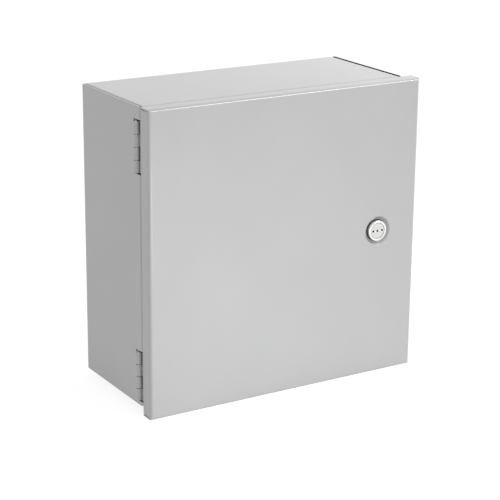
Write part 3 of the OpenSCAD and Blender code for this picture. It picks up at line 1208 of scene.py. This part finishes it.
@dataclass
class GroundStud:
    """A welded ground stud with its toothed washer and nut. Its base is outlined in shares of its size."""

    finishes: Finishes
    body: Body
    prefix: str
    turn: Triple
    foot: Vector
    length: float
    radius: float = 3 * MM
    pitch: float = 1.0 * MM
    base_r: float = 5 * MM
    base_h: float = 1.2 * MM
    base_form: tuple[Span, ...] = ((0, 0), (1, 0), (1, 0.35), (0.93, 0.7), (0.78, 1), (0, 1))
    washer_r: float = 6 * MM
    washer_h: float = 1.0 * MM
    nut_across: float = 10 * MM
    nut_thick: float = 5 * MM
    slip: float = 0.1 * MM

    def build(self) -> None:
        """Build the stud, the washer and the nut along the stud's axis."""
        away = Vector((0, 0, 1))
        for angle, axis in zip(self.turn, "XYZ"):
            away.rotate(Matrix.Rotation(math.radians(angle), 3, axis))
        bore = self.radius + self.slip
        stud = self.stud()
        washer = Fastener.star_washer(f"{self.prefix}washer_star", self.washer_r, bore, self.washer_h)
        nut = Fastener.nut(f"{self.prefix}nut_hex", self.nut_across, self.nut_thick, bore)
        for shape, kind, height in (
            (stud, "stud", 0.0),
            (washer, "washer", self.base_h),
            (nut, "nut", self.base_h + self.washer_h),
        ):
            Bench.seat(shape, self.foot + away * height, self.turn)
            hand_over(shape, self.body, Slot.ZINC_PLATE, self.finishes.zinc, f"{self.prefix}{kind}")

    def stud(self) -> Object:
        """Make the threaded stud with the base that is welded to the sheet.

        Returns:
            The stud, standing on z = 0.
        """
        low = 0.5 * self.base_h
        stud = Fastener.rod(f"{self.prefix}stud_threaded", self.radius, self.pitch, low, self.length)
        outline = [(r * self.base_r, h * self.base_h) for r, h in self.base_form]
        Bench.combine(stud, Bench.lathe(f"{self.prefix}base", outline), Cut.JOIN)
        Bench.smooth(stud)
        return stud


@dataclass
class QuarterTurnLatch:
    """The slotted latch: housing, gasket and locknut on the door; plug, stop washer and cam that turn.

    Heights are distances in front of the wall, along the latch's axis.
    """

    finishes: Finishes
    axis: Span
    head_r: float = 11 * MM
    head_back: float = 140.2 * MM
    head_front: float = 143.6 * MM
    head_cut: float = 0.2 * MM
    rim_round: float = 0.9 * MM
    cup_r: float = 8.4 * MM
    cup_floor: float = 140.4 * MM
    cup_lip: float = 0.35 * MM
    barrel_r: float = 9.2 * MM
    barrel_pitch: float = 1.5 * MM
    barrel_end: float = 124.5 * MM
    flat: float = 8.2 * MM
    bore_r: float = 5.05 * MM
    gasket_r: float = 11.8 * MM
    gasket_low: float = 139.0 * MM
    gasket_soft: float = 0.45 * MM
    locknut_across: float = 24 * MM
    locknut_low: float = 133.5 * MM
    locknut_thick: float = 4 * MM
    plug_r: float = 8.1 * MM
    plug_front: float = 143.1 * MM
    plug_back: float = 140.7 * MM
    plug_soft: float = 0.3 * MM
    shaft_r: float = 5 * MM
    shaft_end: float = 124.2 * MM
    square: float = 7.0 * MM
    square_end: float = 120.5 * MM
    square_round: float = 0.5 * MM
    tip_r: float = 3 * MM
    tip_pitch: float = 1.0 * MM
    tip_end: float = 113.8 * MM
    slot_len: float = 13.6 * MM
    slot_w: float = 2.0 * MM
    slot_depth: float = 1.5 * MM
    centre_r: float = 1.3 * MM
    centre_depth: float = 2.2 * MM
    cam_nut_across: float = 10 * MM
    cam_nut_thick: float = 4 * MM
    cam_nut_low: float = 115.3 * MM
    tab_in: float = 5.4 * MM
    tab_out: float = 7.3 * MM
    tab_top: float = 126.5 * MM
    tab_half: float = 17.3
    plate_edge: float = 0.25 * MM
    plate_shortest: float = 0.6 * MM
    slip: float = 0.1 * MM

    def build(self) -> None:
        """Build every piece of the latch and set it on the latch's axis."""
        on_door = (
            (self.housing(), Slot.LATCH_METAL, self.finishes.nickel, "latch_housing"),
            (self.gasket(), Slot.BLACK_RUBBER, self.finishes.rubber, "latch_gasket"),
            (self.locknut(), Slot.ZINC_PLATE, self.finishes.zinc, "latch_locknut"),
        )
        turning = (
            (self.plug(), Slot.LATCH_METAL, self.finishes.plug, "latch_plug"),
            (self.cam_nut(), Slot.ZINC_PLATE, self.finishes.zinc, "cam_nut"),
        )
        for body, pieces in ((Body.DOOR, on_door), (Body.LATCH, turning)):
            for piece, slot, finish, node in pieces:
                Bench.seat(piece, Vector((self.axis[0], 0, self.axis[1])), (90, 0, 0))
                hand_over(piece, body, slot, finish, node)
        plates = {"latch_cam": "cam_plate", "stop_washer": "stop_plate", "cam_lock_washer": "split_washer"}
        for node, name in plates.items():
            plate = Bench.softened(node, name, self.plate_edge, self.plate_shortest)
            hand_over(plate, Body.LATCH, Slot.ZINC_PLATE, self.finishes.zinc, node)

    def housing(self) -> Object:
        """Make the housing: a turned head with a cup, and a threaded barrel with two flats.

        Returns:
            The housing, along Z.
        """
        inside = self.head_back + 0.5 * MM
        body = Bench.thread("housing_body", self.barrel_r, self.barrel_pitch, self.barrel_end, inside)
        for side in (-1, 1):
            Bench.slice(body, Vector((side * self.flat, 0, 0)), Vector((side, 0, 0)))
        Bench.heal(body)
        back, front = self.head_back, self.head_front
        cut, rim, lip = self.head_cut, self.rim_round, self.cup_lip
        edge = [
            (self.head_r - rim * (1 - math.cos(angle)), front - rim * (1 - math.sin(angle)))
            for angle in (math.radians(90 * step / 5) for step in range(6))
        ]
        head = Bench.lathe(
            "housing_head",
            [(0, back), (self.head_r - cut, back), (self.head_r, back + cut), *edge, (0, front)],
            steps=96,
        )
        Bench.combine(body, head, Cut.JOIN)
        end, floor = self.barrel_end - MM, self.cup_floor
        cup = Bench.lathe(
            "housing_cup",
            [
                (0, end), (self.bore_r, end), (self.bore_r, floor), (self.cup_r, floor),
                (self.cup_r, front - lip), (self.cup_r + lip + MM, front + MM), (0, front + MM),
            ],
            steps=96,
        )
        Bench.combine(body, cup, Cut.REMOVE)
        Bench.combine(body, self.stop_room(), Cut.REMOVE)
        Bench.smooth(body)
        return body

    def stop_room(self) -> Object:
        """Spin the room that the stop tab moves in, from the cam hanging down to the cam pointing right.

        Returns:
            The tool that cuts it.
        """
        low, high = self.barrel_end - MM, self.tab_top
        start, sweep = -90 - self.tab_half, 90 + 2 * self.tab_half
        inner, outer = self.tab_in, self.tab_out
        outline = [(inner, low), (outer, low), (outer, high), (inner, high), (inner, low)]
        room = Bench.chain("stop_room", outline)
        Bench.heal(room)
        Bench.open(room, Pick.EDGE, everything=True)
        bpy.ops.mesh.edge_face_add()
        bpy.ops.mesh.spin(steps=32, angle=-math.radians(sweep), center=(0, 0, 0), axis=(0, 0, 1))
        Bench.close()
        Bench.heal(room)
        Bench.seat(room, Vector((0, 0, 0)), (0, 0, start))
        return room

    def gasket(self) -> Object:
        """Make the rubber ring, with its outer edge rounded.

        Returns:
            The gasket, along Z.
        """
        low, high = self.gasket_low, self.head_back
        inner, outer, soft = self.barrel_r + self.slip, self.gasket_r, self.gasket_soft
        ring = Bench.lathe(
            "gasket_ring",
            [
                (inner, low), (outer - 0.5 * soft, low), (outer, low + 0.5 * soft), (outer, high - soft),
                (outer - 0.3 * soft, high - 0.3 * soft), (outer - soft, high), (inner, high), (inner, low),
            ],
            steps=80,
        )
        Bench.smooth(ring, angle=50)
        return ring

    def locknut(self) -> Object:
        """Return the nut that holds the housing to the door, along Z."""
        bore = self.barrel_r + self.slip
        return Fastener.nut("lock_ring_nut", self.locknut_across, self.locknut_thick, bore, self.locknut_low)

    def cam_nut(self) -> Object:
        """Return the nut on the plug's tip, along Z."""
        bore = self.tip_r + self.slip
        return Fastener.nut("cam_hex_nut", self.cam_nut_across, self.cam_nut_thick, bore, self.cam_nut_low)

    def plug(self) -> Object:
        """Make the turning plug: slotted face, shaft, square and threaded tip.

        Returns:
            The plug, along Z.
        """
        soft = self.plug_soft
        plug = Fastener.rod("plug_turned", self.tip_r, self.tip_pitch, -self.square_end - MM, -self.tip_end)
        Bench.seat(plug, Vector((0, 0, 0)), (180, 0, 0))
        ends = (self.square_end, self.shaft_end + soft)
        square = Bench.bar("plug_square", self.square, self.square, ends, self.square_round, segments=3)
        Bench.combine(plug, square, Cut.JOIN)
        radius, front, back = self.plug_r, self.plug_front, self.plug_back
        turned = Bench.lathe(
            "plug_shaft",
            [
                (0, self.shaft_end), (self.shaft_r, self.shaft_end), (self.shaft_r, back), (radius, back),
                (radius, front - soft), (radius - 0.3 * soft, front - 0.3 * soft), (radius - soft, front),
                (0, front),
            ],
            steps=96,
        )
        Bench.combine(plug, turned, Cut.JOIN)
        Bench.combine(plug, self.screwdriver_slot(), Cut.REMOVE)
        Bench.combine(plug, self.centre_drill(), Cut.REMOVE)
        Bench.smooth(plug)
        return plug

    def screwdriver_slot(self) -> Object:
        """Return the tool that cuts the slot, along X, with its ends rounded."""
        ends = (self.plug_front - self.slot_depth, self.plug_front + MM)
        return Bench.bar("slot_tool", self.slot_len, self.slot_w, ends, 0.49 * self.slot_w, segments=6)

    def centre_drill(self) -> Object:
        """Turn the drill that sinks the centre mark in the slot's floor.

        Returns:
            The tool, along Z.
        """
        r, tip, over = self.centre_r, self.plug_front - self.centre_depth, self.plug_front + MM
        outline = [(0, tip), (r, tip + 0.5 * r), (r, over), (0, over)]
        return Bench.lathe("centre_tool", outline, steps=32)


@dataclass(frozen=True)
class SoftBox:
    """A soft lamp: its place, the point that it faces, its width and height, and its power in watts."""

    name: str
    place: Triple
    aim: Triple
    size: Span
    power: float


@dataclass
class Studio:
    """Pale floor, soft lights and the camera at the photograph's angle."""

    floor_z: float = -161.5 * MM
    floor_size: float = 14.0
    floor_colour: Colour = (0.8, 0.8, 0.8)
    shadow_colour: Colour = (0.3, 0.3, 0.3)
    floor_glow: float = 0.86
    sky: float = 0.5
    target: Vector = Vector((-39.72 * MM, -143.0 * MM, -1.42 * MM))
    yaw: float = -31.473
    pitch: float = 17.42
    roll: float = 0.567
    distance: float = 1649.3 * MM
    lens: float = 119.389
    sensor: float = 36.0
    clip: Span = (0.05, 50.0)
    lamps: tuple[SoftBox, ...] = (
        SoftBox("key", (2.64, -3.45, 2.8), (0.0, -0.14, 0.15), (1.3, 0.4), 88.0),
        SoftBox("over", (0.6, -0.05, 0.45), (0.1, -0.06, 0.15), (0.15, 0.15), 1.8),
        SoftBox("fill", (-0.08, -0.46, -0.05), (-0.08, -0.14, -0.05), (0.12, 0.12), 0.2),
    )

    def build(self) -> None:
        """Build the floor, the world, the lamps and the camera."""
        self.floor()
        self.world()
        for box in self.lamps:
            self.lamp(box)
        self.camera()

    def white_ray(self, tree: NodeTree) -> NodeSocket:
        """Add the test for rays that see the white background.

        Args:
            tree: the node tree that uses it.

        Returns:
            1 for camera, glossy and transmission rays, and otherwise 0.
        """
        path = tree.nodes.new("ShaderNodeLightPath")
        seen = path.outputs["Is Camera Ray"]
        for name in ("Is Glossy Ray", "Is Transmission Ray"):
            either = tree.nodes.new("ShaderNodeMath")
            either.operation = "MAXIMUM"
            tree.links.new(seen, either.inputs[0])
            tree.links.new(path.outputs[name], either.inputs[1])
            seen = either.outputs[0]
        return seen

    def floor(self) -> None:
        """Lay a pale floor that keeps the object's shadow."""
        Bench.clear()
        bpy.ops.mesh.primitive_plane_add(size=self.floor_size, location=(0, 0, self.floor_z))
        floor = Bench.named("studio_floor")
        material = bpy.data.materials.new("pale_floor")
        material.use_nodes = True
        tree = material.node_tree
        tree.nodes.clear()
        out = tree.nodes.new("ShaderNodeOutputMaterial")
        matt, shadow = (tree.nodes.new("ShaderNodeBsdfDiffuse") for _ in range(2))
        matt.inputs["Color"].default_value = (*self.floor_colour, 1)
        shadow.inputs["Color"].default_value = (*self.shadow_colour, 1)
        glow = tree.nodes.new("ShaderNodeEmission")
        glow.inputs["Strength"].default_value = self.floor_glow
        white = tree.nodes.new("ShaderNodeAddShader")
        mix = tree.nodes.new("ShaderNodeMixShader")
        tree.links.new(glow.outputs[0], white.inputs[0])
        tree.links.new(shadow.outputs[0], white.inputs[1])
        tree.links.new(self.white_ray(tree), mix.inputs["Fac"])
        tree.links.new(matt.outputs[0], mix.inputs[1])
        tree.links.new(white.outputs[0], mix.inputs[2])
        tree.links.new(mix.outputs[0], out.inputs["Surface"])
        floor.data.materials.append(material)

    def world(self) -> None:
        """Light the object softly from all round, and show white behind it."""
        world = bpy.data.worlds.new("studio")
        bpy.context.scene.world = world
        world.use_nodes = True
        tree = world.node_tree
        background = tree.nodes["Background"]
        background.inputs["Color"].default_value = (1, 1, 1, 1)
        level = tree.nodes.new("ShaderNodeMapRange")
        level.inputs["To Min"].default_value = self.sky
        level.inputs["To Max"].default_value = 1.0
        tree.links.new(self.white_ray(tree), level.inputs["Value"])
        tree.links.new(level.outputs["Result"], background.inputs["Strength"])

    def lamp(self, box: SoftBox) -> None:
        """Hang one lamp, with its width along X as far as it can be.

        Args:
            box: the lamp.
        """
        data = bpy.data.lights.new(box.name, "AREA")
        data.shape = "RECTANGLE"
        data.size, data.size_y = box.size
        data.energy = box.power
        lamp = bpy.data.objects.new(box.name, data)
        place = Vector(box.place)
        back = (place - Vector(box.aim)).normalized()
        up = back.cross(Vector((1, 0, 0))).normalized()
        lamp.matrix_world = self.pose(place, up.cross(back), up)
        lamp.visible_camera = False
        bpy.context.scene.collection.objects.link(lamp)

    def pose(self, place: Vector, right: Vector, up: Vector) -> Matrix:
        """Return the matrix of a lamp or camera with its place and its own right and up directions."""
        turn = Matrix((right, up, right.cross(up))).transposed()
        return Matrix.Translation(place) @ turn.to_4x4()

    def camera(self) -> None:
        """Set the camera at the photograph's viewing angle."""
        yaw, pitch, roll = (math.radians(angle) for angle in (self.yaw, self.pitch, self.roll))
        back = Vector((math.sin(yaw) * math.cos(pitch), -math.cos(yaw) * math.cos(pitch), math.sin(pitch)))
        level = Vector((math.cos(yaw), math.sin(yaw), 0))
        rise = back.cross(level)
        right = math.cos(roll) * level + math.sin(roll) * rise
        up = math.cos(roll) * rise - math.sin(roll) * level
        data = bpy.data.cameras.new("photo_camera")
        data.lens = self.lens
        data.sensor_width = self.sensor
        data.clip_start, data.clip_end = self.clip
        camera = bpy.data.objects.new("photo_camera", data)
        camera.matrix_world = self.pose(self.target + back * self.distance, right, up)
        bpy.context.scene.collection.objects.link(camera)
        bpy.context.scene.camera = camera


def make_finishes(axis: Span) -> Finishes:
    """Make every finish once.

    Args:
        axis: the latch's place in X and Z, which its turned rings are centred on.

    Returns:
        The finishes.
    """
    grey, white = (0.572, 0.575, 0.575), (0.80, 0.80, 0.785)
    return Finishes(
        grey=PowderCoat("grey_powder_coat", grey).material(),
        box_grey=SeamedCoat("grey_powder_coat_seamed", grey).material(),
        white=PowderCoat("white_powder_coat", white, gloss=(0.3, 0.42)).material(),
        zinc=ZincPlate().material(),
        # Painted light and shade: one nickel in two copies, the housing's lighter for its bright rim and the
        # plug's darker for its greyer face.
        nickel=TurnedNickel(axis).material(),
        plug=TurnedNickel(axis, "shaded_nickel", (0.70, 0.70, 0.69)).material(),
        rubber=BlackRubber().material(),
    )


def main() -> None:
    """Build the sub-assemblies in order, then the studio."""
    logging.basicConfig(level=logging.INFO, format="%(message)s")
    bpy.context.scene.view_settings.view_transform = "Standard"
    low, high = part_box("latch_housing")
    axis = ((low.x + high.x) / 2, (low.z + high.z) / 2)
    finishes = make_finishes(axis)
    FoldedBox(finishes).build()
    PanDoor(finishes).build()
    for which in ("upper", "lower"):
        ButtHinge(finishes, which).build()
    QuarterTurnLatch(finishes, axis).build()
    MountingPanel(finishes).build()
    GroundStud(
        finishes,
        Body.ENCLOSURE,
        "ground_",
        turn=(0, -90, 0),
        foot=Vector((151 * MM, -45 * MM, -100.5 * MM)),
        length=17 * MM,
    ).build()
    GroundStud(
        finishes,
        Body.DOOR,
        "door_ground_",
        turn=(-90, 0, 0),
        foot=Vector((axis[0], -141.5 * MM, -121.5 * MM)),
        length=10 * MM,
    ).build()
    Studio().build()


if __name__ == "__main__":
    main()
